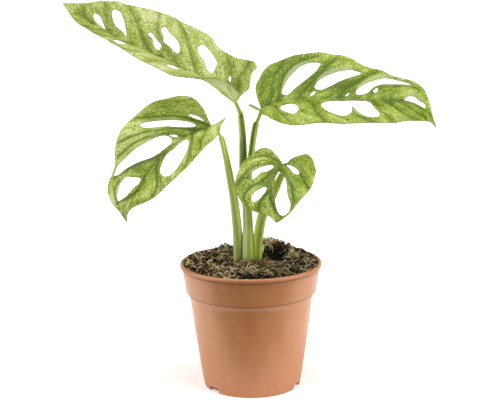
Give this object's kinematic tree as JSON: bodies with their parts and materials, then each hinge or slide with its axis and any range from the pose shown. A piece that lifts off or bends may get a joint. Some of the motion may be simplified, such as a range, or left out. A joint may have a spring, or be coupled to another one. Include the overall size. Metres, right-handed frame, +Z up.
{
  "type": "potted monstera adansonii plant",
  "caption": "Young Swiss cheese vine in a round nursery pot: windowed, mottled leaf blades on channelled sheathed stalks rising from a crown buried in compost.",
  "frame": {"origin": "centre of the pot's underside, on the surface the pot stands on", "axes": "+Z up along the pot's axis, -Y towards the side the plant is seen from, +X to that viewer's right"},
  "size_m": [0.3123, 0.1273, 0.3241],
  "materials": {
    "pot": "satin",
    "compost": "matte",
    "rootstock": "matte",
    "stalk": "satin",
    "blade": "satin"
  },
  "bodies": {
    "root": {"pot": "pot", "soil": "compost", "crown": "rootstock", "stalk_upper_left": "stalk", "stalk_upper_right": "stalk", "stalk_mid_left": "stalk", "stalk_front": "stalk", "leaf_upper_left": "blade", "leaf_upper_right": "blade", "leaf_mid_left": "blade", "leaf_front": "blade"}
  },
  "joints": []
}
